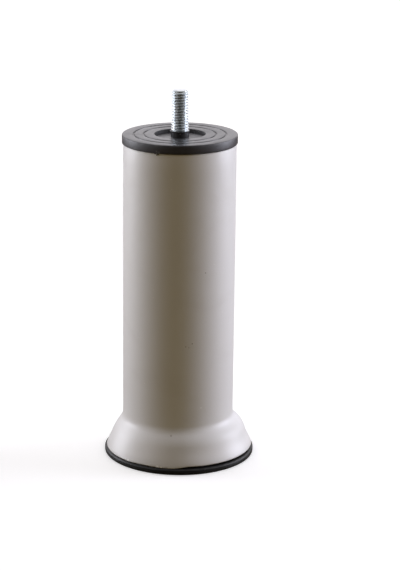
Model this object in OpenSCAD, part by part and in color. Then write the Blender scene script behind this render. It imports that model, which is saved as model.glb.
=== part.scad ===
// Round furniture leg: a belled tube with a moulded cap, a moulded foot and a threaded stud.
// Millimetres. The origin is the middle of the sole, and +Z runs up the leg.

/* [Leg] */
// Height from the sole to the top face of the cap
leg_h = 150; // [90:1:300]

/* [Tube] */
// Outside diameter of the straight part of the tube
tube_d = 51; // [48:0.5:56]
// Thickness of the tube's wall, the same all through the bell
tube_wall = 1.5; // [1:0.1:2]
// Chamfer on the tube's cut edges
tube_chamfer = 0.3; // [0.1:0.05:0.4]

/* [Bell] */
// Outside diameter of the bell's mouth
mouth_d = 67.6; // [65:0.1:74]
// Outside diameter at the corner where the flare meets the skirt
shoulder_d = 58.8; // [57:0.1:62]
// Height of the skirt, from the mouth to that corner
skirt_h = 10.7; // [9:0.1:14]
// Slope of the flare from upright, in degrees
flare_slope = 42; // [30:0.5:50]
// Outside radius where the straight tube turns into the flare
neck_r = 5.7; // [4:0.1:7]
// Outside radius where the flare turns into the skirt
shoulder_r = 13; // [8:0.1:14]

/* [Cap] */
// Diameter of the cap's flange
cap_d = 52; // [51:0.1:60]
// Height of the flange
cap_h = 3.9; // [3:0.1:6]
// Rounding of the flange's top edge
cap_edge_r = 0.7; // [0.3:0.1:1.2]
// Radius of the inner groove in the top face
inner_groove_r = 16.2; // [13:0.1:18]
// Radius of the outer groove in the top face
outer_groove_r = 20.7; // [19:0.1:23]
// Width of each groove
groove_w = 0.9; // [0.5:0.1:1.2]
// Depth of each groove
groove_depth = 0.4; // [0.2:0.1:0.8]
// Diameter of the recess round the stud
recess_d = 22.8; // [18:0.1:25]
// Depth of that recess
recess_depth = 1.45; // [0.8:0.05:1.8]
// Diameter of the collar round the stud
collar_d = 8.3; // [8.1:0.1:8.5]
// Diameter of the bead at the top of the collar
collar_bead_d = 8.8; // [8.6:0.1:10]
// Height of that bead
collar_bead_h = 0.5; // [0.3:0.1:0.8]
// Height of the collar above the cap's top face
collar_rise = 1.5; // [1:0.1:3]

/* [Plug] */
// Depth of the plug in the tube, below the flange
plug_depth = 16; // [12:0.5:25]
// Thickness of the plug's wall
plug_wall = 2; // [1.2:0.1:3]
// Gap between the plug's wall and the tube's bore
plug_gap = 0.4; // [0.2:0.05:0.8]
// Number of crush ribs on the plug's wall
plug_ribs = 8; // [4:1:12]
// Diameter of the hub that holds the bolt
hub_d = 20; // [18:0.5:24]
// Number of webs between the hub and the plug's wall
webs = 6; // [3:1:8]
// Thickness of each web
web_t = 1.8; // [1.2:0.1:3]

/* [Stud] */
// Major diameter of the thread
stud_d = 8; // [7.8:0.05:8]
// Pitch of the thread
stud_pitch = 1.25; // [1:0.25:1.25]
// Height of the stud's end above the cap's top face
stud_rise = 20; // [12:0.5:26]
// Chamfer on the stud's end
stud_chamfer = 1; // [0.5:0.1:1.2]
// Length of the bolt under its head
bolt_length = 30; // [25:5:35]
// Width of the bolt's head across its flats
head_af = 13; // [12:0.5:14]
// Height of the bolt's head
head_h = 5.3; // [4:0.1:6]
// Gap between the bolt's head and its pocket
pocket_gap = 0.1; // [0.05:0.05:0.3]

/* [Foot] */
// Diameter of the foot's rim
foot_d = 69; // [68.6:0.1:80]
// Height of the rim, which is where the bell's lip stands
foot_h = 2.8; // [2.4:0.1:6]
// Rounding of the sole's edge
foot_edge_r = 1.3; // [0.5:0.1:1.4]
// Rounding of the rim's top edge
foot_top_r = 0.4; // [0.2:0.05:0.5]
// Height of the fine groove round the rim
foot_groove_z = 1.7; // [1.6:0.05:1.8]
// Width of the fine groove
foot_groove_w = 0.4; // [0.2:0.1:0.6]
// Depth of the fine groove
foot_groove_depth = 0.3; // [0.1:0.1:0.5]
// Diameter of the shallow dish in the sole
dish_d = 52; // [30:1:58]
// Depth of that dish
dish_depth = 1; // [0.5:0.1:1.2]
// Height of the spigot above the rim
spigot_h = 7; // [4:0.5:10]
// Thickness of the spigot's wall
spigot_wall = 2; // [1.2:0.1:3]
// Gap between the spigot and the inside of the bell
spigot_gap = 0.4; // [0.2:0.05:0.6]
// Number of crush ribs on the spigot
spigot_ribs = 12; // [6:1:18]

/* [Fits] */
// Width of each crush rib
rib_w = 1.6; // [1:0.1:2.5]
// Gap between a crush rib's crest and the wall that it grips
rib_gap = 0.05; // [0.02:0.01:0.1]

/* [Hidden] */
$fn = 96;

tube_r = tube_d / 2;
tube_top = leg_h - cap_h;
bore_r = tube_r - tube_wall;
far = leg_h + tube_d;                          // Longer than anything that is cut with it

// The corners of the bell before they are rounded: the skirt with the flare, the flare with the tube
corner_r = shoulder_d / 2;
corner_z = foot_h + skirt_h;
neck_corner_z = corner_z + (corner_r - tube_r) / tan(flare_slope);
skirt_lean = atan((mouth_d - shoulder_d) / 2 / skirt_h);

// Both roundings fit on the flare, with a little straight wall between. A short flare makes them smaller.
flare_flat = 0.2;
turn_half = (flare_slope - skirt_lean) / 2;
flare_room = (corner_r - tube_r) / sin(flare_slope) - flare_flat;
rounding_share = min(1, flare_room / (shoulder_r * tan(turn_half) + neck_r * tan(flare_slope / 2)));
shoulder_turn = shoulder_r * rounding_share;
neck_turn = neck_r * rounding_share;

// The middles of the two roundings. Both walls of the bell turn about them, so the wall keeps its thickness.
mid_lean = (flare_slope + skirt_lean) / 2;
shoulder_mid = [corner_r, corner_z] - shoulder_turn / cos(turn_half) * [cos(mid_lean), sin(mid_lean)];
neck_mid = [tube_r + neck_turn, neck_corner_z + neck_turn * tan(flare_slope / 2)];

plug_bottom = tube_top - plug_depth;
plug_r = bore_r - plug_gap;
rib_crest_r = bore_r - rib_gap;
recess_floor = leg_h - recess_depth;
collar_top = leg_h + collar_rise;
stud_top = leg_h + stud_rise;
head_seat = stud_top - bolt_length;
core_d = stud_d - 0.6495 * stud_pitch;         // Pitch diameter, where the cap has flowed into the thread
rib_overlap = 0.5;                             // How deep a rib or a web is rooted in what carries it

// Everything inside the bell and the tube above the mouth, with its outline moved in by inset
module bell_area(inset) {
    flat_out = [cos(flare_slope), sin(flare_slope)];
    skirt_out = [cos(skirt_lean), sin(skirt_lean)];
    difference() {
        union() {
            polygon([
                [0, foot_h],
                [mouth_d / 2 - inset / cos(skirt_lean), foot_h],
                shoulder_mid + (shoulder_turn - inset) * skirt_out,
                shoulder_mid + (shoulder_turn - inset) * flat_out,
                neck_mid - (neck_turn + inset) * flat_out,
                [tube_r - inset, neck_mid[1]],
                [tube_r - inset, tube_top],
                [0, tube_top]
            ]);
            intersection() {
                translate(shoulder_mid) circle(shoulder_turn - inset);
                translate([0, foot_h]) square(far);
            }
        }
        translate(neck_mid) circle(neck_turn + inset);
    }
}

// A square set on its corner at a point, which cuts a chamfer of the given size there
module corner_cut(at, size) {
    translate(at) rotate(45) square(size * sqrt(2), center = true);
}

// A rectangle in the half plane of a revolve, from one radius and height to another
module band(r_from, r_to, z_from, z_to) {
    translate([r_from, z_from]) square([r_to - r_from, z_to - z_from]);
}

// Plates that stand out from the axis in a ring, to be cut to the shape of ribs or webs
module spokes(count, thickness, z_from, z_to) {
    for (i = [0 : count - 1])
        rotate(i * 360 / count)
            translate([0, -thickness / 2, z_from])
                cube([far, thickness, z_to - z_from]);
}

module leg_tube() {
    color("whitesmoke")
    rotate_extrude()
    difference() {
        bell_area(0);
        bell_area(tube_wall);
        corner_cut([mouth_d / 2, foot_h], tube_chamfer);
        corner_cut([mouth_d / 2 - tube_wall / cos(skirt_lean), foot_h], tube_chamfer);
        corner_cut([tube_r, tube_top], tube_chamfer);
        corner_cut([bore_r, tube_top], tube_chamfer);
    }
}

// Section of the flange: a disc with a rounded top edge, less its recess and grooves
module flange_area() {
    difference() {
        union() {
            band(0, cap_d / 2 - cap_edge_r, tube_top, leg_h);
            band(0, cap_d / 2, tube_top, leg_h - cap_edge_r);
            translate([cap_d / 2 - cap_edge_r, leg_h - cap_edge_r]) circle(cap_edge_r);
        }
        band(-1, recess_d / 2, recess_floor, leg_h + 1);
        for (r = [inner_groove_r, outer_groove_r])
            band(r - groove_w / 2, r + groove_w / 2, leg_h - groove_depth, leg_h + 1);
    }
}

module top_cap() {
    color("dimgray")
    difference() {
        union() {
            rotate_extrude() {
                flange_area();
                band(plug_r - plug_wall, plug_r, plug_bottom, tube_top + rib_overlap);
                band(0, hub_d / 2, plug_bottom, tube_top + rib_overlap);
                band(0, collar_d / 2, recess_floor - rib_overlap, collar_top);
                band(0, collar_bead_d / 2, collar_top - collar_bead_h, collar_top);
            }
            intersection() {
                spokes(plug_ribs, rib_w, plug_bottom, tube_top + rib_overlap);
                rotate_extrude()
                    difference() {
                        band(plug_r - rib_overlap, rib_crest_r, plug_bottom, tube_top + rib_overlap);
                        corner_cut([rib_crest_r, plug_bottom], plug_gap);
                    }
            }
            intersection() {
                spokes(webs, web_t, plug_bottom, tube_top + rib_overlap);
                rotate_extrude()
                    band(hub_d / 2 - rib_overlap, plug_r - plug_wall + rib_overlap,
                         plug_bottom, tube_top + rib_overlap);
            }
        }
        translate([0, 0, head_seat - rib_overlap]) cylinder(d = core_d, h = far);
        translate([0, 0, plug_bottom - 1])
            cylinder(d = (head_af + 2 * pocket_gap) / cos(30), h = head_seat - plug_bottom + 1, $fn = 6);
    }
}

// Hexagonal bolt: the head with its corners turned off, the shank in the cap, and the free thread
module stud_bolt() {
    corner_d = head_af / cos(30);
    color("silver") {
        intersection() {
            translate([0, 0, head_seat - head_h]) cylinder(d = corner_d, h = head_h, $fn = 6);
            translate([0, 0, head_seat - head_h])
                cylinder(d1 = head_af * 0.95, d2 = head_af * 0.95 + 2 * head_h * tan(60), h = head_h);
        }
        translate([0, 0, head_seat]) cylinder(d = core_d, h = collar_top - head_seat);
        translate([0, 0, collar_top]) cylinder(d = stud_d, h = stud_top - stud_chamfer - collar_top);
        translate([0, 0, stud_top - stud_chamfer])
            cylinder(d1 = stud_d, d2 = stud_d - 2 * stud_chamfer, h = stud_chamfer);
    }
}

// Section of the foot's rim and floor, with its two roundings, its groove and the dish in the sole
module sole_area() {
    foot_r = foot_d / 2;
    difference() {
        union() {
            band(0, foot_r - foot_edge_r, 0, foot_h);
            band(0, foot_r - foot_top_r, foot_edge_r, foot_h);
            band(0, foot_r, foot_edge_r, foot_h - foot_top_r);
            translate([foot_r - foot_edge_r, foot_edge_r]) circle(foot_edge_r);
            translate([foot_r - foot_top_r, foot_h - foot_top_r]) circle(foot_top_r);
        }
        band(-1, dish_d / 2, -1, dish_depth);
        translate([0, foot_groove_z - foot_groove_w / 2])
            band(foot_r - foot_groove_depth, foot_r + 1, 0, foot_groove_w);
    }
}

// Section of a ring that follows the inside of the bell, between two insets from the bell's outline
module spigot_area(outer_inset, inner_inset) {
    intersection() {
        difference() {
            bell_area(outer_inset);
            bell_area(inner_inset);
        }
        band(0, far, foot_h, foot_h + spigot_h);
    }
}

module foot_cap() {
    wall_in = tube_wall + spigot_gap;
    color("dimgray") {
        rotate_extrude() {
            sole_area();
            spigot_area(wall_in, wall_in + spigot_wall);
        }
        intersection() {
            spokes(spigot_ribs, rib_w, foot_h, foot_h + spigot_h);
            rotate_extrude() spigot_area(tube_wall + rib_gap, wall_in + rib_overlap);
        }
    }
}

leg_tube();
top_cap();
stud_bolt();
foot_cap();
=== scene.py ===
# A round furniture leg: belled white tube, black moulded cap and foot, zinc-plated stud
import math
import random

import bpy
from mathutils import Matrix, Vector


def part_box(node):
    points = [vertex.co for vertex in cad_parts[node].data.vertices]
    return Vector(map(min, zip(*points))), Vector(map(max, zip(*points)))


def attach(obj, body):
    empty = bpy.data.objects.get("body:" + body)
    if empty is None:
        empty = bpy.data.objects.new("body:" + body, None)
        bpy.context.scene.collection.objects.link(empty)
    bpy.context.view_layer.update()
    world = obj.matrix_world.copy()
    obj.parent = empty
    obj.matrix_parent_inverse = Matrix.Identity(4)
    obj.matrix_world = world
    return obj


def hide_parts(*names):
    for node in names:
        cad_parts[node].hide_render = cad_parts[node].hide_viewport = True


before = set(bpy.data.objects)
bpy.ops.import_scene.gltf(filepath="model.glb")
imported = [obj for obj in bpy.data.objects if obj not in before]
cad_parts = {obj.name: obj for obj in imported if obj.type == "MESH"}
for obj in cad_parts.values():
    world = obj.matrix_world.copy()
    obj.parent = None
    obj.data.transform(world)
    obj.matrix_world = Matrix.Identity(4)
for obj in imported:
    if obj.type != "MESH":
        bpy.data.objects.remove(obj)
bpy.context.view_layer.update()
mm = 0.001                                  # the sizes below are in millimetres
segments = 192                              # sides of every turned piece


def heights(node):
    low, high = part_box(node)
    return low.z / mm, high.z / mm


# The camera: an eye above the cap's level, looking down the leg
cameraPlace = {
    "distance": 877.8, "height": 334.3, "yaw": 0.632, "pitch": 16.17, "roll": 0.622,
    "focal": 126.23, "sensor": 36, "nearest": 50,
}

camera = bpy.data.objects.new("camera", bpy.data.cameras.new("camera"))
camera.data.lens = cameraPlace["focal"]
camera.data.sensor_width = cameraPlace["sensor"]
camera.data.clip_start = cameraPlace["nearest"] * mm
camera.matrix_world = (
    Matrix.Translation((0, -cameraPlace["distance"] * mm, cameraPlace["height"] * mm))
    @ Matrix.Rotation(math.radians(-cameraPlace["yaw"]), 4, "Z")
    @ Matrix.Rotation(math.radians(90 - cameraPlace["pitch"]), 4, "X")
    @ Matrix.Rotation(math.radians(cameraPlace["roll"]), 4, "Z")
)
bpy.context.scene.collection.objects.link(camera)
bpy.context.scene.camera = camera
print("camera set")


# Small tools that every piece uses

def deselect():
    if bpy.context.mode != "OBJECT":
        bpy.ops.object.mode_set(mode="OBJECT")
    bpy.ops.object.select_all(action="DESELECT")


def activate(piece):
    deselect()
    piece.select_set(True)
    bpy.context.view_layer.objects.active = piece


def editAll():
    bpy.ops.object.mode_set(mode="EDIT")
    bpy.ops.mesh.select_all(action="SELECT")


def settle(piece, name):
    # the piece keeps its place in its mesh, with its object at the origin
    activate(piece)
    piece.name = name
    piece.data.name = name
    bpy.ops.object.transform_apply(location=True, rotation=True, scale=True)


def apply(piece, kind, **settings):
    activate(piece)
    modifier = piece.modifiers.new(kind.lower(), kind)
    for key, value in settings.items():
        setattr(modifier, key, value)
    bpy.ops.object.modifier_apply(modifier=modifier.name)


def combine(piece, tool, operation):
    # a boolean with a tool that is used up
    apply(piece, "BOOLEAN", object=tool, operation=operation, solver="EXACT")
    bpy.data.objects.remove(tool)


def joinAll(pieces, name):
    deselect()
    for piece in pieces:
        piece.select_set(True)
    bpy.context.view_layer.objects.active = pieces[0]
    bpy.ops.object.join()
    pieces[0].name = name
    return pieces[0]


def smooth(piece, angle=32):
    activate(piece)
    bpy.ops.object.shade_smooth_by_angle(angle=math.radians(angle))


def nextRing(old, new):
    # extrudes the selected ring to the next one; a ring is (radius, height, shift along X)
    step = ((new[2] - old[2]) * mm, 0, (new[1] - old[1]) * mm)
    bpy.ops.mesh.extrude_region_move(TRANSFORM_OT_translate={"value": step})
    grow = new[0] / old[0]
    bpy.ops.transform.resize(value=(grow, grow, 1), center_override=(new[2] * mm, 0, new[1] * mm))


def turn(name, rings, filled=False):
    # ring after ring, as on a lathe; filled closes the first and the last ring with a face
    deselect()
    radius, height, shift = rings[0]
    bpy.ops.mesh.primitive_circle_add(
        vertices=segments, radius=radius * mm, location=(shift * mm, 0, height * mm),
        fill_type="NGON" if filled else "NOTHING",
    )
    piece = bpy.context.object
    settle(piece, name)
    editAll()
    if filled:
        bpy.ops.mesh.region_to_loop()
    for old, new in zip(rings, rings[1:]):
        nextRing(old, new)
    if filled:
        bpy.ops.mesh.edge_face_add()
    bpy.ops.mesh.select_all(action="SELECT")
    bpy.ops.mesh.remove_doubles(threshold=1e-6)
    bpy.ops.mesh.normals_make_consistent(inside=False)
    bpy.ops.object.mode_set(mode="OBJECT")
    return piece


def roundCorners(corners, steps=4):
    # a corner is (radius, height, rounding); each becomes an arc that touches its two sides
    rings = []
    for i, (r, z, size) in enumerate(corners):
        if size <= 0 or i in (0, len(corners) - 1):
            rings.append((r, z, 0))
            continue
        here = Vector((r, z))
        toOld = (Vector(corners[i - 1][:2]) - here).normalized()
        toNew = (Vector(corners[i + 1][:2]) - here).normalized()
        half = toOld.angle(toNew) / 2
        middle = here + (toOld + toNew).normalized() * size / math.sin(half)
        first = here + toOld * size / math.tan(half) - middle
        last = here + toNew * size / math.tan(half) - middle
        for k in range(steps + 1):
            point = middle + size * first.slerp(last, k / steps)
            rings.append((point.x, point.y, 0))
    return rings


def angleOf(point):
    # degrees round the leg, from the front towards +X
    return math.degrees(math.atan2(point.x, -point.y))


def around(angle, radius, height):
    # the place at an angle from the front, in metres
    turned = math.radians(angle)
    return radius * mm * math.sin(turned), -radius * mm * math.cos(turned), height * mm


def ease(value, low, high):
    # 0 below low, 1 above high, with soft ends
    t = min(max((value - low) / (high - low), 0), 1)
    return t * t * (3 - 2 * t)


def bump(value, middle, reach):
    return 1 - ease(abs(value - middle), 0, reach)


def finish(piece, material, node):
    piece.data.materials.clear()
    piece.data.materials.append(material)
    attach(piece, "root")
    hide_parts(node)


def hexagon(name, flats, lowZ, highZ):
    # a hexagonal prism, its flats this far apart
    deselect()
    bpy.ops.mesh.primitive_cylinder_add(
        vertices=6, radius=flats / 2 / math.cos(math.radians(30)) * mm, depth=(highZ - lowZ) * mm,
        location=(0, 0, (lowZ + highZ) / 2 * mm), rotation=(0, 0, math.radians(30)),
    )
    piece = bpy.context.object
    settle(piece, name)
    return piece


def block(name, low, high, angle=0):
    # a box between two corners, turned about the leg's axis
    deselect()
    centre = [(a + b) / 2 * mm for a, b in zip(low, high)]
    bpy.ops.mesh.primitive_cube_add(size=1, location=centre)
    piece = bpy.context.object
    piece.scale = [(b - a) * mm for a, b in zip(low, high)]
    settle(piece, name)
    piece.data.transform(Matrix.Rotation(math.radians(angle), 4, "Z"))
    return piece


def spokes(name, count, width, fromR, toR, fromZ, toZ):
    # equal blocks round the axis, each standing between two radii
    made = [block(name, (fromR, -width / 2, fromZ), (toR, width / 2, toZ), i * 360 / count)
            for i in range(count)]
    return joinAll(made, name)


# Node groups that the materials share

def newGroup(name, inputs, outputs):
    group = bpy.data.node_groups.new(name, "ShaderNodeTree")
    for socket, kind, value in inputs:
        made = group.interface.new_socket(name=socket, in_out="INPUT", socket_type="NodeSocket" + kind)
        if value is not None:
            made.default_value = value
    for socket, kind in outputs:
        group.interface.new_socket(name=socket, in_out="OUTPUT", socket_type="NodeSocket" + kind)
    return group, group.nodes.new("NodeGroupInput"), group.nodes.new("NodeGroupOutput")


def put(tree, kind, inputs=None, **settings):
    # a node with its settings, and its inputs linked or set
    node = tree.nodes.new("ShaderNode" + kind)
    for key, value in settings.items():
        setattr(node, key, value)
    for key, value in (inputs or {}).items():
        if isinstance(value, bpy.types.NodeSocket):
            tree.links.new(value, node.inputs[key])
        else:
            node.inputs[key].default_value = value
    return node


def math2(tree, operation, a, b=None, clamp=False):
    inputs = {0: a} if b is None else {0: a, 1: b}
    return put(tree, "Math", inputs, operation=operation, use_clamp=clamp).outputs[0]


def remap(tree, value, fromLow, fromHigh, toLow=0.0, toHigh=1.0):
    return put(tree, "MapRange", {
        "Value": value, "From Min": fromLow, "From Max": fromHigh, "To Min": toLow, "To Max": toHigh,
    }, interpolation_type="SMOOTHSTEP").outputs["Result"]


def mixColor(tree, factor, a, b):
    node = put(tree, "Mix", data_type="RGBA")
    for index, value in ((0, factor), (6, a), (7, b)):
        if isinstance(value, bpy.types.NodeSocket):
            tree.links.new(value, node.inputs[index])
        else:
            node.inputs[index].default_value = value
    return node.outputs[2]


def radiusOf(tree, vector):
    # distance from the leg's axis, and height, both in metres
    parts = put(tree, "SeparateXYZ", {"Vector": vector})
    square = math2(tree, "ADD", math2(tree, "MULTIPLY", parts.outputs["X"], parts.outputs["X"]),
                   math2(tree, "MULTIPLY", parts.outputs["Y"], parts.outputs["Y"]))
    return math2(tree, "SQRT", square), parts.outputs["Z"]


def makeSkinGroup():
    # fine skin of a surface: a soft orange peel with a finer grain on it
    group, given, made = newGroup("surfaceSkin", [
        ("Vector", "Vector", None), ("Peel", "Float", 900.0), ("Grain", "Float", 4000.0),
        ("Grain Share", "Float", 0.3),
    ], [("Height", "Float")])
    peel = put(group, "TexNoise", {"Vector": given.outputs["Vector"], "Scale": given.outputs["Peel"],
                                   "Detail": 2.0, "Roughness": 0.45})
    grain = put(group, "TexNoise", {"Vector": given.outputs["Vector"], "Scale": given.outputs["Grain"],
                                    "Detail": 3.0, "Roughness": 0.6})
    fine = math2(group, "MULTIPLY", grain.outputs["Fac"], given.outputs["Grain Share"])
    group.links.new(math2(group, "ADD", peel.outputs["Fac"], fine), made.inputs["Height"])
    return group


def makeSpeckGroup():
    # scattered specks, from dust and from nibs in a coat: 1 on a speck
    group, given, made = newGroup("specks", [
        ("Vector", "Vector", None), ("Scale", "Float", 300.0), ("Size", "Float", 0.12),
        ("Share", "Float", 0.5),
    ], [("Mask", "Float")])
    cells = put(group, "TexVoronoi", {"Vector": given.outputs["Vector"], "Scale": given.outputs["Scale"]})
    dot = math2(group, "LESS_THAN", cells.outputs["Distance"], given.outputs["Size"])
    parts = put(group, "SeparateXYZ", {"Vector": cells.outputs["Color"]})
    chosen = math2(group, "LESS_THAN", parts.outputs["X"], given.outputs["Share"])
    group.links.new(math2(group, "MULTIPLY", dot, chosen), made.inputs["Mask"])
    return group


def makeCloudGroup():
    # slow uneven patches, as from handling
    group, given, made = newGroup("patches", [
        ("Vector", "Vector", None), ("Scale", "Float", 40.0), ("Low", "Float", 0.4), ("High", "Float", 0.7),
    ], [("Mask", "Float")])
    noise = put(group, "TexNoise", {"Vector": given.outputs["Vector"], "Scale": given.outputs["Scale"],
                                    "Detail": 4.0, "Roughness": 0.55, "Distortion": 0.6})
    limits = put(group, "MapRange", {"Value": noise.outputs["Fac"], "From Min": given.outputs["Low"],
                                     "From Max": given.outputs["High"]}, interpolation_type="SMOOTHSTEP")
    group.links.new(limits.outputs["Result"], made.inputs["Mask"])
    return group


def makeEdgeGroup():
    # rubbed line round the leg at one radius and height, broken up by noise: 1 on the edge
    group, given, made = newGroup("rubbedEdge", [
        ("Vector", "Vector", None), ("Radius", "Float", 0.026), ("Height", "Float", 0.15),
        ("Reach", "Float", 0.0006), ("Break Scale", "Float", 300.0),
    ], [("Mask", "Float")])
    radius, height = radiusOf(group, given.outputs["Vector"])
    across = math2(group, "SUBTRACT", radius, given.outputs["Radius"])
    along = math2(group, "SUBTRACT", height, given.outputs["Height"])
    distance = math2(group, "SQRT", math2(group, "ADD", math2(group, "MULTIPLY", across, across),
                                          math2(group, "MULTIPLY", along, along)))
    near = math2(group, "SUBTRACT", 1.0, math2(group, "DIVIDE", distance, given.outputs["Reach"]), clamp=True)
    noise = put(group, "TexNoise", {"Vector": given.outputs["Vector"],
                                    "Scale": given.outputs["Break Scale"], "Detail": 3.0})
    broken = remap(group, noise.outputs["Fac"], 0.42, 0.62)
    group.links.new(math2(group, "MULTIPLY", near, broken), made.inputs["Mask"])
    return group


groups = {
    "skin": makeSkinGroup(), "specks": makeSpeckGroup(), "patches": makeCloudGroup(), "edge": makeEdgeGroup(),
}


def use(tree, name, vector, **values):
    # the first output of a shared group, with its values set
    node = put(tree, "Group", node_tree=groups[name])
    tree.links.new(vector, node.inputs["Vector"])
    for key, value in values.items():
        node.inputs[key.replace("_", " ")].default_value = value
    return node.outputs[0]


def newMaterial(name, **constants):
    # a material with its plain values set, and the object's own coordinates to paint by
    material = bpy.data.materials.new(name)
    material.use_nodes = True
    tree = material.node_tree
    shader = tree.nodes["Principled BSDF"]
    for key, value in constants.items():
        shader.inputs[key.replace("_", " ")].default_value = value
    place = put(tree, "TexCoord").outputs["Object"]
    return material, tree, shader, place


def addBump(tree, shader, height, strength, distance):
    node = put(tree, "Bump", {"Height": height, "Strength": strength, "Distance": distance})
    tree.links.new(node.outputs["Normal"], shader.inputs["Normal"])


def paint(tree, shader, socket, value):
    tree.links.new(value, shader.inputs[socket])


def layers(tree, color, marks):
    # paints each mark over the last one: its mask, how strongly, and its colour
    for mask, strength, over in marks:
        color = mixColor(tree, math2(tree, "MULTIPLY", mask, strength), color, over)
    return color


def pile(tree, value, parts):
    # adds parts to a value, each by its share
    for part, share in parts:
        value = math2(tree, "ADD", value, math2(tree, "MULTIPLY", part, share))
    return value


def spot(tree, vector, angle, radius, height, size):
    # 1 in a small round mark, at an angle from the front, a radius and a height
    centre = around(angle, radius, height)
    away = put(tree, "VectorMath", {0: vector, 1: centre}, operation="DISTANCE").outputs["Value"]
    return remap(tree, away, size * mm, 0.4 * size * mm)


def spots(tree, vector, marks):
    # one mask for several marks
    masks = [spot(tree, vector, *mark) for mark in marks]
    for mask in masks[1:]:
        masks[0] = math2(tree, "MAXIMUM", masks[0], mask)
    return masks[0]


# Tube: one steel tube, its lower end pressed out into a bell, powder coated

tubeSizes = {
    "radius": 25.5, "wall": 1.5, "mouthRadius": 33.8, "cornerRadius": 29.4, "skirtHeight": 10.7,
    "flareSlope": 42, "neckRounding": 5.7, "shoulderRounding": 13, "edgeRounding": 0.3,
    "skirtSteps": 6, "shoulderSteps": 8, "neckSteps": 10, "uprightSteps": 16, "smoothAngle": 40,
    # the bell is pressed a little to one side, and most at its shoulder; heights are from the lip
    "offCentre": 0.7, "centredFrom": 11, "centredAt": 17,
    "shoulderPush": 0.3, "pushHeight": 11, "pushReach": 5,
    # its lip isn't cut quite square: it rises between the first angles and falls between the second
    "lipStep": 0.95, "lipRises": (-4, 10), "lipFalls": (60, 175),
    "lipSwell": 0.25, "swellAngle": -28, "swellReach": 18, "lipFlat": 0.5, "lipReach": 7,
}


def bellLine(sizes, lipZ, topZ, inset):
    # the wall's outline from the lip to the top, moved in by inset
    cornerR, cornerZ = sizes["cornerRadius"], lipZ + sizes["skirtHeight"]
    skirtLean = math.atan2(sizes["mouthRadius"] - cornerR, sizes["skirtHeight"])
    slope = math.radians(sizes["flareSlope"])
    skirtOut = Vector((math.cos(skirtLean), math.sin(skirtLean)))
    flareOut = Vector((math.cos(slope), math.sin(slope)))
    between = (skirtOut + flareOut).normalized() / math.cos((slope - skirtLean) / 2)
    neckZ = cornerZ + (cornerR - sizes["radius"]) / math.tan(slope)
    shoulder = Vector((cornerR, cornerZ)) - sizes["shoulderRounding"] * between
    neck = Vector((sizes["radius"], neckZ)) + sizes["neckRounding"] * Vector((1, math.tan(slope / 2)))
    line = [Vector((sizes["mouthRadius"] - inset / math.cos(skirtLean), lipZ))]
    steps = sizes["shoulderSteps"]
    line += [shoulder + (sizes["shoulderRounding"] - inset) * skirtOut.slerp(flareOut, k / steps)
             for k in range(steps + 1)]
    straight = Vector((1.0, 0.0))
    steps = sizes["neckSteps"]
    line += [neck - (sizes["neckRounding"] + inset) * flareOut.slerp(straight, k / steps)
             for k in range(steps + 1)]
    steps = sizes["skirtSteps"]
    skirt = [line[0].lerp(line[1], k / steps) for k in range(1, steps)]
    steps = sizes["uprightSteps"]
    upright = [line[-1].lerp(Vector((line[-1].x, topZ)), k / steps) for k in range(1, steps + 1)]
    return [(p.x, p.y) for p in line[:1] + skirt + line[1:] + upright]


def bellShift(sizes, z, lipZ):
    # how far the bell's ring at height z stands off the tube's axis
    up = z - lipZ
    shift = sizes["offCentre"] * (1 - ease(up, sizes["centredFrom"], sizes["centredAt"]))
    return shift + sizes["shoulderPush"] * bump(up, sizes["pushHeight"], sizes["pushReach"])


def lipRaise(sizes, angle):
    # how much higher than its lowest the lip is, at an angle from the front
    raised = ease(angle, *sizes["lipRises"]) * (1 - ease(angle, *sizes["lipFalls"])) * sizes["lipStep"]
    return raised + sizes["lipSwell"] * bump(angle, sizes["swellAngle"], sizes["swellReach"])


def makeTube():
    sizes = tubeSizes
    lipZ, topZ = heights("leg_tube")
    outer = bellLine(sizes, lipZ, topZ, 0)
    inner = bellLine(sizes, lipZ, topZ, sizes["wall"])[::-1]
    ends = {outer[0], outer[-1], inner[0], inner[-1]}
    half = len(inner) // 2
    loop = inner[half:] + outer + inner[:half + 1]
    corners = [(r, z, sizes["edgeRounding"] if (r, z) in ends else 0) for r, z in loop]
    rings = [(r, z, bellShift(sizes, z, lipZ)) for r, z, _ in roundCorners(corners)]
    tube = turn("tubeBody", rings)
    for vertex in tube.data.vertices:
        up = vertex.co.z / mm - lipZ
        if up < sizes["lipReach"]:
            raised = lipRaise(sizes, angleOf(vertex.co))
            vertex.co.z += raised * mm * (1 - ease(up, sizes["lipFlat"], sizes["lipReach"]))
    smooth(tube, sizes["smoothAngle"])
    print("tube:", len(tube.data.polygons), "faces")
    return tube


coatLook = {
    "white": (0.83, 0.825, 0.82, 1), "patch": (0.79, 0.78, 0.765, 1), "nib": (0.9, 0.89, 0.88, 1),
    "mark": (0.33, 0.3, 0.27, 1), "chip": (0.16, 0.155, 0.15, 1), "fresh": (1.0, 0.99, 0.98, 1),
    "ior": 1.5, "rough": (0.4, 0.5),
    # single marks: angle from the front, radius, height and size
    "bright": (
        (24.2, 25.5, 28.5, 0.5), (-43.1, 33.2, 3.3, 0.95), (-15.9, 33.4, 3.3, 0.95), (-12.8, 33.4, 3.2, 0.7),
    ),
    "dents": ((-6.5, 27.0, 16.2, 0.7), (7.2, 25.5, 58.1, 0.45), (10.5, 25.5, 57.6, 0.35)),
    # how strongly each sort of mark shows
    "lipShading": 0.3, "darkSpecks": 0.6, "rubbing": 0.55, "denting": 0.45,
    "lipShadeBelow": (4.5, 0.5), "lipShadeShare": (0.55, 0.9),     # painted shade from here down, above the lip, uneven by the patches
    "rubbedReach": 1.1,
    # how far each stands up or sinks in, beside the skin's own height
    "nibRise": 0.6, "rubbedRise": -0.8, "dentRise": -2.0, "relief": 0.35, "reliefHeight": 0.06,
}


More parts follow.
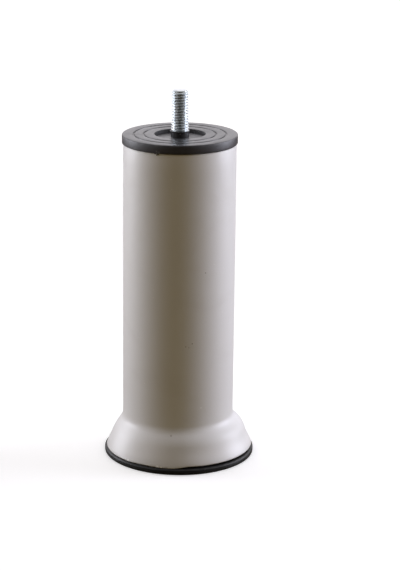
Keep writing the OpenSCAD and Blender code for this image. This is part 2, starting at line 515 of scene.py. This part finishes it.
def makeCoat():
    # satin powder coat: soft peel, faint handling patches, nibs, a rubbed lip, chips and small dents, with
    # painted shade over the skirt towards the lip
    look = coatLook
    material, tree, shader, place = newMaterial("coatWhite", IOR=look["ior"])
    lipZ = heights("leg_tube")[0]
    patches = use(tree, "patches", place, Scale=45.0, Low=0.48, High=0.8)
    nibs = use(tree, "specks", place, Scale=260.0, Size=0.09, Share=0.12)
    dark = use(tree, "specks", place, Scale=170.0, Size=0.06, Share=0.08)
    rubbed = use(tree, "edge", place, Radius=tubeSizes["mouthRadius"] * mm, Height=lipZ * mm,
                 Reach=look["rubbedReach"] * mm, Break_Scale=420.0)
    height = radiusOf(tree, place)[1]
    # painted shade: the coat darkens from a few millimetres above the lip down to it, more in some patches
    low = remap(tree, height, *((lipZ + up) * mm for up in look["lipShadeBelow"]))
    lipShade = math2(tree, "MULTIPLY", low, remap(tree, patches, 0.0, 1.0, *look["lipShadeShare"]))
    dents = spots(tree, place, look["dents"])
    paint(tree, shader, "Base Color", layers(tree, look["white"], (
        (patches, 1.0, look["patch"]), (lipShade, look["lipShading"], look["mark"]), (nibs, 1.0, look["nib"]),
        (dark, look["darkSpecks"], look["mark"]), (rubbed, look["rubbing"], look["chip"]),
        (dents, look["denting"], look["mark"]), (spots(tree, place, look["bright"]), 1.0, look["fresh"]),
    )))
    paint(tree, shader, "Roughness", remap(tree, patches, 0.0, 1.0, *look["rough"]))
    skin = use(tree, "skin", place, Peel=900.0, Grain=5200.0, Grain_Share=0.25)
    height = pile(tree, skin, (
        (nibs, look["nibRise"]), (rubbed, look["rubbedRise"]), (dents, look["dentRise"]),
    ))
    addBump(tree, shader, height, look["relief"], look["reliefHeight"] * mm)
    return material


# Cap: black moulding with a flange, two grooves, a recess and a collar; its plug goes down the tube

capSizes = {
    "radius": 26, "flange": 3.9, "edgeRounding": 0.4, "lowerRounding": 0.2,
    "grooves": (16.2, 20.7), "grooveWidth": 0.9, "grooveDepth": 0.45, "grooveSlope": 0.1, "grooveLip": 0.2,
    "recessRadius": 11.4, "recessDepth": 1.45, "recessFoot": 0.08, "recessLip": 0.07,
    "collarRadius": 4.15, "rise": 1.5, "beadRadius": 4.4, "beadHeight": 0.5, "collarFoot": 0.1, "soft": 0.08,
    "bore": 3.594, "boreMiddle": 143, "headSeat": 140, "pocketFlats": 13.2, "hubRadius": 10,
    "plugRadius": 23.6, "plugWall": 2, "plugRounding": 0.3,
    "ribs": 8, "ribWidth": 1.6, "ribCrest": 23.95, "webs": 6, "webWidth": 1.8, "overlap": 0.5,
    "lean": 0.42,                      # it seats on the left, and stands a little proud on the right
    # ragged flash on the collar's top face, between these angles
    "flashReach": 0.22, "flashArcs": ((-75, -12), (18, 80)), "flashTeeth": 90, "toothAngle": 4,
    "flashSeed": 5, "flashDepth": 0.2, "flashInside": 0.15, "flashSpread": 0.5,
    # crumbs of torn plastic at the flange's lower edge: angle from the front, radius, height and size
    "scraps": (
        (-24.5, 25.6, 146.0, 0.3), (-23, 25.6, 145.5, 0.38), (-21.5, 25.6, 145.7, 0.25),
        (-23.5, 26, 147.1, 0.24), (-20.6, 26, 146.8, 0.26), (-25.6, 25.6, 145.9, 0.2),
        (-22.2, 26, 146.3, 0.3),
    ),
    "scrapTear": 0.35,
}


def addFlash(cap, collarZ):
    # thin ragged flash where the plastic shut against the thread
    sizes = capSizes
    noise = random.Random(sizes["flashSeed"])
    teeth = [noise.random() for _ in range(sizes["flashTeeth"])]
    for vertex in cap.data.vertices:
        away, angle = math.hypot(vertex.co.x, vertex.co.y) / mm, angleOf(vertex.co)
        if vertex.co.z / mm < collarZ - sizes["flashDepth"] or away < sizes["bore"] + sizes["flashInside"]:
            continue
        if any(low < angle < high for low, high in sizes["flashArcs"]):
            tooth = teeth[int(angle / sizes["toothAngle"]) % len(teeth)] * sizes["flashReach"]
            vertex.co.z += tooth * mm
            vertex.co.x *= 1 + sizes["flashSpread"] * tooth / away
            vertex.co.y *= 1 + sizes["flashSpread"] * tooth / away


def scrap(angle, radius, height, size):
    # one crumb of torn plastic
    deselect()
    bpy.ops.mesh.primitive_ico_sphere_add(
        subdivisions=2, radius=size * mm, location=around(angle, radius, height))
    piece = bpy.context.object
    settle(piece, "scrap")
    editAll()
    bpy.ops.transform.vertex_random(offset=capSizes["scrapTear"] * size * mm, seed=int(abs(angle) * 10))
    bpy.ops.mesh.normals_make_consistent(inside=False)
    bpy.ops.object.mode_set(mode="OBJECT")
    return piece


def lean(piece, seatZ):
    # the cap and the stud that it holds tip about the left end of the seat
    seat = Vector((-capSizes["radius"], 0, seatZ)) * mm
    tip = Matrix.Rotation(math.radians(-capSizes["lean"]), 4, "Y")
    piece.data.transform(Matrix.Translation(seat) @ tip @ Matrix.Translation(-seat))


def capCorners(sizes, plugZ, flangeZ, topZ, collarZ):
    # the cap's section, from the bore over the top face, down the plug and back up to the bore
    floorZ, soft, softPlug = topZ - sizes["recessDepth"], sizes["soft"], sizes["plugRounding"]
    plugInside = sizes["plugRadius"] - sizes["plugWall"]
    corners = [
        (sizes["bore"], sizes["boreMiddle"], 0), (sizes["bore"], collarZ, soft),
        (sizes["beadRadius"], collarZ, soft), (sizes["beadRadius"], collarZ - sizes["beadHeight"], soft),
        (sizes["collarRadius"], collarZ - sizes["beadHeight"], 0),
        (sizes["collarRadius"], floorZ, sizes["collarFoot"]),
        (sizes["recessRadius"], floorZ, sizes["recessFoot"]),
        (sizes["recessRadius"], topZ, sizes["recessLip"]),
    ]
    slope, bottom = sizes["grooveSlope"], topZ - sizes["grooveDepth"]
    for middle in sizes["grooves"]:
        near, far = middle - sizes["grooveWidth"] / 2, middle + sizes["grooveWidth"] / 2
        corners += [(near, topZ, sizes["grooveLip"]), (near + slope, bottom, slope),
                    (far - slope, bottom, slope), (far, topZ, sizes["grooveLip"])]
    return corners + [
        (sizes["radius"], topZ, sizes["edgeRounding"]), (sizes["radius"], flangeZ, sizes["lowerRounding"]),
        (sizes["plugRadius"], flangeZ, 0), (sizes["plugRadius"], plugZ, softPlug),
        (plugInside, plugZ, softPlug), (plugInside, flangeZ, softPlug),
        (sizes["hubRadius"], flangeZ, softPlug), (sizes["hubRadius"], plugZ, softPlug),
        (sizes["bore"], plugZ, 0), (sizes["bore"], sizes["boreMiddle"], 0),
    ]


def makeCap():
    sizes = capSizes
    plugZ, collarZ = heights("top_cap")
    topZ = collarZ - sizes["rise"]
    flangeZ, overlap = topZ - sizes["flange"], sizes["overlap"]
    cap = turn("topCap", roundCorners(capCorners(sizes, plugZ, flangeZ, topZ, collarZ)))
    addFlash(cap, collarZ)
    ribs = spokes("ribs", sizes["ribs"], sizes["ribWidth"], sizes["plugRadius"] - overlap, sizes["ribCrest"],
                  plugZ, flangeZ + overlap)
    combine(cap, ribs, "UNION")
    webs = spokes("webs", sizes["webs"], sizes["webWidth"], sizes["hubRadius"] - overlap,
                  sizes["plugRadius"] - sizes["plugWall"] + overlap, plugZ, flangeZ + overlap)
    combine(cap, webs, "UNION")
    combine(cap, hexagon("pocket", sizes["pocketFlats"], plugZ - 1, sizes["headSeat"]), "DIFFERENCE")
    cap = joinAll([cap] + [scrap(*crumb) for crumb in sizes["scraps"]], "topCap")
    lean(cap, flangeZ)
    smooth(cap)
    print("cap:", len(cap.data.polygons), "faces")
    return cap


plasticLook = {
    "cap": (0.028, 0.0272, 0.031, 1), "foot": (0.013, 0.0125, 0.012, 1), "worn": (0.08, 0.079, 0.082, 1),
    # shaded is the painted shade for the wall of the cap's recess
    "dust": (0.3, 0.29, 0.3, 1), "torn": (0.17, 0.165, 0.15, 1), "shaded": (0.006, 0.006, 0.0065, 1),
    "ior": {"cap": 1.55, "foot": 1.34}, "rough": (0.28, 0.36),
    # torn places: angle from the front, radius, height and size
    "tears": ((-23, 25.7, 145.7, 1.3), (-23, 26, 147.2, 0.45), (-20.5, 26, 146.9, 0.4)),
    # how strongly each shows in the colour, and what it adds to the roughness
    "shading": 0.9, "wear": 0.6, "dusting": 0.35, "tearing": 0.8,
    "wallDull": 0.4, "dustDull": 0.3, "sideDull": 0.15,
    "wallBand": (0.1, 0.2), "sideRadius": (25.6, 25.85),
    "dustRise": 0.8, "relief": 0.5, "reliefHeight": 0.04,
}


def recessWall(tree, radius, wallRadius):
    # 1 on the wall of the recess, 0 a little inside and outside it
    near, far = plasticLook["wallBand"]
    inner = remap(tree, radius, (wallRadius - far) * mm, (wallRadius - near) * mm)
    outer = remap(tree, radius, (wallRadius + near) * mm, (wallRadius + far) * mm)
    return math2(tree, "SUBTRACT", inner, outer)


def makePlastic(name, black, edges, ringMarks, recess=0):
    # satin black moulding: spark-worn skin, dust, rubbed edges, faint turning marks of the mould, and painted
    # shade on the recess wall where there is a recess
    look = plasticLook
    material, tree, shader, place = newMaterial(name, IOR=look["ior"][black])
    patches = use(tree, "patches", place, Scale=60.0, Low=0.4, High=0.75)
    dust = use(tree, "specks", place, Scale=330.0, Size=0.1, Share=0.22)
    worn = None
    for edgeRadius, height, reach in edges:
        edge = use(tree, "edge", place, Radius=edgeRadius * mm, Height=height * mm, Reach=reach * mm,
                   Break_Scale=350.0)
        worn = edge if worn is None else math2(tree, "MAXIMUM", worn, edge)
    radius = radiusOf(tree, place)[0]
    base, rough = look[black], remap(tree, patches, 0.0, 1.0, *look["rough"])
    if recess:
        # painted shade on the wall of the recess, which is also duller
        wall = recessWall(tree, radius, recess)
        base = layers(tree, base, ((wall, look["shading"], look["shaded"]),))
        rough = pile(tree, rough, ((wall, look["wallDull"]),))
    tears = spots(tree, place, look["tears"])
    paint(tree, shader, "Base Color", layers(tree, base, (
        (worn, look["wear"], look["worn"]), (dust, look["dusting"], look["dust"]),
        (tears, look["tearing"], look["torn"]),
    )))
    side = remap(tree, radius, *(reach * mm for reach in look["sideRadius"]))
    paint(tree, shader, "Roughness", pile(tree, rough, ((dust, look["dustDull"]), (side, look["sideDull"]))))
    skin = use(tree, "skin", place, Peel=2600.0, Grain=7000.0, Grain_Share=0.6)
    rings = put(tree, "TexNoise", {"W": radius, "Scale": 1800.0, "Detail": 3.0}, noise_dimensions="1D")
    height = pile(tree, skin, ((dust, look["dustRise"]), (rings.outputs["Fac"], ringMarks)))
    addBump(tree, shader, height, look["relief"], look["reliefHeight"] * mm)
    return material


# Foot: black moulding that the bell's lip stands on, with a spigot inside the bell

footSizes = {
    "radius": 34.5, "rim": 2.8, "edgeRounding": 0.7, "topRounding": 1.0,
    "grooveZ": 1.7, "grooveWidth": 0.4, "grooveDepth": 0.3, "grooveRounding": 0.06,
    "dishRadius": 26, "dishDepth": 1, "dishRounding": 0.3, "middle": 2,
    "gap": 0.4, "spigotWall": 2, "ribs": 12, "ribWidth": 1.6, "ribGap": 0.05, "overlap": 0.5,
    "discShift": 0.6,                  # its spigot follows the bell, its disc stands less far off
}


def spigotLine(inset):
    # the bell's inside as far up as the spigot goes
    lipZ, topZ = heights("leg_tube")
    spigotZ, nearly = heights("foot_cap")[1], 0.2
    bell = bellLine(tubeSizes, lipZ, topZ, inset)
    line = [point for point in bell if point[1] < spigotZ - nearly]
    after = bell[len(line)]
    share = (spigotZ - line[-1][1]) / (after[1] - line[-1][1])
    line.append((line[-1][0] + (after[0] - line[-1][0]) * share, spigotZ))
    return line


def footRib(outer, angle):
    # one crush rib on the spigot; its outer side above the rim leans in as the spigot does
    sizes = footSizes
    (baseR, _), (topR, topZ) = outer[0], outer[-1]
    rib = block("rib", (topR - sizes["overlap"], -sizes["ribWidth"] / 2, sizes["rim"]),
                (baseR + sizes["gap"] - sizes["ribGap"], sizes["ribWidth"] / 2, topZ))
    for vertex in rib.data.vertices:
        if vertex.co.x > (baseR - 0.1) * mm and vertex.co.z > (sizes["rim"] + 1) * mm:
            vertex.co.x -= (baseR - topR) * mm
    rib.data.transform(Matrix.Translation((tubeSizes["offCentre"] * mm, 0, 0))
                       @ Matrix.Rotation(math.radians(angle), 4, "Z"))
    return rib


def makeFoot():
    sizes = footSizes
    outer = spigotLine(tubeSizes["wall"] + sizes["gap"])
    inner = spigotLine(tubeSizes["wall"] + sizes["gap"] + sizes["spigotWall"])[::-1]
    radius, rim, dish, soft = sizes["radius"], sizes["rim"], sizes["dishRadius"], sizes["grooveRounding"]
    low, high = sizes["grooveZ"] - sizes["grooveWidth"] / 2, sizes["grooveZ"] + sizes["grooveWidth"] / 2
    corners = [
        (sizes["middle"], sizes["dishDepth"], 0), (dish, sizes["dishDepth"], sizes["dishRounding"]),
        (dish, 0, sizes["dishRounding"]), (radius, 0, sizes["edgeRounding"]), (radius, low, soft),
        (radius - sizes["grooveDepth"], low, soft), (radius - sizes["grooveDepth"], high, soft),
        (radius, high, soft), (radius, rim, sizes["topRounding"]),
    ]
    corners += [(r, z, 0) for r, z in outer] + [(r, z, 0) for r, z in inner] + [(sizes["middle"], rim, 0)]
    rings = [(r, z, tubeSizes["offCentre"] if z > rim + 0.1 else sizes["discShift"])
             for r, z, _ in roundCorners(corners)]
    foot = turn("footCap", rings, filled=True)
    ribs = [footRib(outer, i * 360 / sizes["ribs"]) for i in range(sizes["ribs"])]
    combine(foot, joinAll(ribs, "ribs"), "UNION")
    smooth(foot)
    print("foot:", len(foot.data.polygons), "faces")
    return foot


# Stud: a hexagonal bolt held in the cap, with a rolled thread on its free end

studSizes = {
    "crest": 4, "root": 3.25, "pitch": 1.25, "crestFlat": 0.16, "rootFlat": 0.2, "steps": 72,
    # the tooth's flank from root to crest: share of its depth, and share of the way along the axis
    "flank": ((0.03, 0), (0.22, 0.18), (0.82, 0.8), (0.96, 1)),
    "threadFrom": 150.9, "chamfer": 1, "spare": 0.2, "shank": 3.594, "shankOverlap": 0.3,
    "headSeat": 140, "headHeight": 5.3, "flats": 13, "headCone": 0.475, "coneSlope": 60, "coneHeight": 4,
    "smoothAngle": 28,
}


def toothLine(sizes):
    # one tooth's outline, from the middle of one root to the middle of the next
    flank = (sizes["pitch"] - sizes["crestFlat"] - sizes["rootFlat"]) / 2
    rise = [(share, sizes["rootFlat"] / 2 + along * flank) for share, along in sizes["flank"]]
    tooth = [(0, 0)] + rise + [(1, sizes["pitch"] / 2)]
    return tooth + [(share, sizes["pitch"] - along) for share, along in tooth[-2::-1]]


def makeThread(sizes, fromZ, toZ):
    # the tooth is wound up the axis, and its ends are cut square
    pitch, depth = sizes["pitch"], sizes["crest"] - sizes["root"]
    tooth = toothLine(sizes)
    deselect()
    startZ = fromZ - 2 * pitch
    bpy.ops.mesh.primitive_plane_add(size=mm, location=(sizes["root"] * mm, 0, startZ * mm))
    thread = bpy.context.object
    settle(thread, "thread")
    editAll()
    bpy.ops.mesh.merge(type="CENTER")
    for (oldShare, oldUp), (share, up) in zip(tooth, tooth[1:]):
        bpy.ops.mesh.extrude_region_move(
            TRANSFORM_OT_translate={"value": ((share - oldShare) * depth * mm, 0, (up - oldUp) * mm)})
    bpy.ops.object.mode_set(mode="OBJECT")
    turns = math.ceil((toZ - startZ) / pitch) + 2
    apply(thread, "SCREW", angle=math.tau, screw_offset=pitch * mm, iterations=turns, steps=sizes["steps"],
          render_steps=sizes["steps"], axis="Z")
    editAll()
    bpy.ops.mesh.remove_doubles(threshold=1e-7)
    for height, up in ((fromZ, -1), (toZ, 1)):
        bpy.ops.mesh.select_all(action="SELECT")
        bpy.ops.mesh.bisect(
            plane_co=(0, 0, height * mm), plane_no=(0, 0, up), clear_outer=True, use_fill=True)
    bpy.ops.mesh.select_all(action="SELECT")
    bpy.ops.mesh.normals_make_consistent(inside=False)
    bpy.ops.object.mode_set(mode="OBJECT")
    return thread


def makeHead(sizes):
    # a hexagonal head, its lower corners turned off
    low, coneHeight = sizes["headSeat"] - sizes["headHeight"], sizes["coneHeight"]
    head = hexagon("head", sizes["flats"], low, sizes["headSeat"])
    small = sizes["flats"] * sizes["headCone"]
    wide = small + coneHeight * math.tan(math.radians(sizes["coneSlope"]))
    cone = turn("cone", [(small, low, 0), (wide, low + coneHeight, 0), (wide, sizes["headSeat"] + 1, 0)],
                filled=True)
    combine(head, cone, "INTERSECT")
    return head


def makeStud():
    sizes = studSizes
    topZ, wide = heights("stud_bolt")[1], sizes["crest"] + sizes["spare"]
    thread = makeThread(sizes, sizes["threadFrom"], topZ)
    blank = turn("blank", [
        (wide, sizes["threadFrom"] - 1, 0), (wide, topZ - sizes["chamfer"] - sizes["spare"], 0),
        (sizes["crest"] - sizes["chamfer"], topZ, 0),
    ], filled=True)
    combine(thread, blank, "INTERSECT")
    shank = turn("shank", [
        (sizes["shank"], sizes["headSeat"] - sizes["spare"], 0),
        (sizes["shank"], sizes["threadFrom"] + sizes["shankOverlap"], 0),
    ], filled=True)
    stud = joinAll([thread, shank, makeHead(sizes)], "studBolt")
    stud.data.name = "studBolt"
    lean(stud, heights("leg_tube")[1])
    smooth(stud, sizes["smoothAngle"])
    print("stud:", len(stud.data.polygons), "faces")
    return stud


zincLook = {
    "zinc": (0.66, 0.69, 0.7, 1), "cool": (0.62, 0.67, 0.7, 1), "grime": (0.09, 0.09, 0.083, 1),
    "rough": (0.22, 0.3), "grimeShare": (0.25, 0.5), "grimeDull": 0.35,
    # grime lies from this radius inwards, and from this far below the end face
    "grimeRadius": (3.62, 3.3), "grimeBelow": (0.9, 1.3),
    "relief": 0.16, "reliefHeight": 0.05,
}


def makeZinc():
    # bright zinc plate: slightly blue, rolled streaks along the thread, dark in its roots
    look = zincLook
    material, tree, shader, place = newMaterial("zincPlate", Metallic=1.0)
    patches = use(tree, "patches", place, Scale=160.0, Low=0.35, High=0.7)
    radius, height = radiusOf(tree, place)
    endZ = heights("stud_bolt")[1]
    below = remap(tree, height, *((endZ - down) * mm for down in look["grimeBelow"]))
    inside = remap(tree, radius, *(reach * mm for reach in look["grimeRadius"]))
    deep = math2(tree, "MULTIPLY", inside, below)
    grime = math2(tree, "MULTIPLY", deep, remap(tree, patches, 0.0, 1.0, *look["grimeShare"]))
    paint(tree, shader, "Base Color", layers(tree, look["zinc"], (
        (patches, 1.0, look["cool"]), (grime, 1.0, look["grime"]),
    )))
    rough = remap(tree, patches, 0.0, 1.0, *look["rough"])
    paint(tree, shader, "Roughness", pile(tree, rough, ((grime, look["grimeDull"]),)))
    stretched = put(tree, "Mapping", {"Vector": place, "Scale": (1.0, 1.0, 9.0)})
    skin = use(tree, "skin", stretched.outputs["Vector"], Peel=900.0, Grain=3000.0, Grain_Share=0.5)
    addBump(tree, shader, skin, look["relief"], look["reliefHeight"] * mm)
    return material


# The pieces, each with its finish; an edge is its radius, its height and how far it is rubbed

sole = heights("foot_cap")[0]
capTop = heights("top_cap")[1] - capSizes["rise"]
capEdges = (
    (capSizes["radius"], capTop, 0.9), (capSizes["radius"], capTop - capSizes["flange"], 0.5),
    (capSizes["recessRadius"], capTop, 0.3),
)
footEdges = (
    (footSizes["radius"] - 0.4, sole + 0.4, 1.1), (footSizes["radius"], sole + footSizes["rim"], 0.6),
)
finish(makeTube(), makeCoat(), "leg_tube")
finish(makeCap(), makePlastic("plasticCap", "cap", capEdges, 1.4, capSizes["recessRadius"]),
       "top_cap")
finish(makeFoot(), makePlastic("plasticFoot", "foot", footEdges, 0.5), "foot_cap")
finish(makeStud(), makeZinc(), "stud_bolt")


# Stage: pale floor, white surround, two tall soft boxes beside the leg

stageLook = {
    "floor": (0.9, 0.9, 0.895, 1), "floorReturn": (0.16, 0.115, 0.04, 1), "white": (1, 1, 1, 1),
    "floorSize": 8, "floorRough": 0.7,
    "floorGlow": (0.42, 0.8), "glowReach": (0.25, 1.0),       # near the leg and far from it, metres
    # what the surround lights with, and what shiny faces mirror
    "front": (0.132, 0.093, 0.024, 1), "frontShine": (0.045, 0.047, 0.04, 1),
    "top": (0.43, 0.415, 0.43, 1), "topShine": (0.6, 0.6, 0.61, 1),
    "back": (1.1, 1.06, 1.1, 1), "backShine": (1.3, 1.26, 1.31, 1),
    # where one turns into the next, by direction
    "behind": (-0.15, 0.25), "beside": (-0.92, -0.6), "above": (0.4, 0.8),
    "boxWidth": 0.5, "boxHeight": 0.8, "boxAway": 0.8, "boxMiddle": 0.22,
    # name, angle from the front, brightness, colour and spread
    "boxes": (
        ("boxRight", 101, 8.4, (0.88, 0.9, 1.04), 110), ("boxLeft", -109, 9.3, (0.93, 0.945, 1.03), 75),
    ),
}


def makeFloor():
    # white to the camera apart from the leg's shadow; it gives little light back to the leg
    look = stageLook
    deselect()
    bpy.ops.mesh.primitive_plane_add(size=look["floorSize"])
    floor = bpy.context.object
    floor.name = "floor"
    material, tree, shader, place = newMaterial("paleFloor", Roughness=look["floorRough"],
                                                Specular_IOR_Level=0.0)
    seen = put(tree, "LightPath").outputs["Is Camera Ray"]
    paint(tree, shader, "Base Color", mixColor(tree, seen, look["floorReturn"], look["floor"]))
    far = remap(tree, radiusOf(tree, place)[0], *look["glowReach"], *look["floorGlow"])
    glow = put(tree, "Emission", {"Color": look["white"], "Strength": math2(tree, "MULTIPLY", seen, far)})
    both = put(tree, "AddShader", {0: shader.outputs[0], 1: glow.outputs[0]})
    tree.links.new(both.outputs[0], tree.nodes["Material Output"].inputs["Surface"])
    floor.data.materials.append(material)


def makeWorld():
    # white to the camera; as light it is soft and white from above and behind, dim and warm in front
    look = stageLook
    world = bpy.data.worlds.new("surround")
    bpy.context.scene.world = world
    world.use_nodes = True
    tree = world.node_tree
    background = tree.nodes["Background"]
    ray = put(tree, "LightPath")
    way = put(tree, "SeparateXYZ", {"Vector": put(tree, "TexCoord").outputs["Generated"]})
    behind = remap(tree, way.outputs["Y"], *look["behind"])
    beside = remap(tree, way.outputs["Y"], *look["beside"])
    above = remap(tree, way.outputs["Z"], *look["above"])
    lighting = mixColor(tree, behind, look["front"], look["back"])
    lighting = mixColor(tree, above, lighting, look["top"])
    mirrored = mixColor(tree, beside, look["frontShine"], look["backShine"])
    mirrored = mixColor(tree, above, mirrored, look["topShine"])
    shiny = math2(tree, "MAXIMUM", ray.outputs["Is Glossy Ray"], ray.outputs["Is Transmission Ray"])
    color = mixColor(tree, shiny, lighting, mirrored)
    color = mixColor(tree, ray.outputs["Is Camera Ray"], color, look["white"])
    tree.links.new(color, background.inputs["Color"])
    background.inputs["Strength"].default_value = 1.0


def softBox(name, angle, glow, color, spread):
    # a lamp beside the leg, facing it; glow is how bright its face is
    turned, away = math.radians(angle), stageLook["boxAway"]
    lamp = bpy.data.lights.new(name, "AREA")
    lamp.shape = "RECTANGLE"
    lamp.color, lamp.spread = color, math.radians(spread)
    lamp.size, lamp.size_y = stageLook["boxWidth"], stageLook["boxHeight"]
    # a narrow spread packs the same energy forwards, so it is taken back out here
    packed = 1 - lamp.spread / 2 / math.tan(lamp.spread / 2)
    lamp.energy = glow * math.pi * lamp.size * lamp.size_y * packed
    holder = bpy.data.objects.new(name, lamp)
    bpy.context.scene.collection.objects.link(holder)
    holder.location = (away * math.sin(turned), -away * math.cos(turned), stageLook["boxMiddle"])
    holder.rotation_euler = (math.radians(90), 0, turned)


makeFloor()
makeWorld()
for box in stageLook["boxes"]:
    softBox(*box)
print("stage set")

bpy.context.scene.view_settings.view_transform = "Standard"
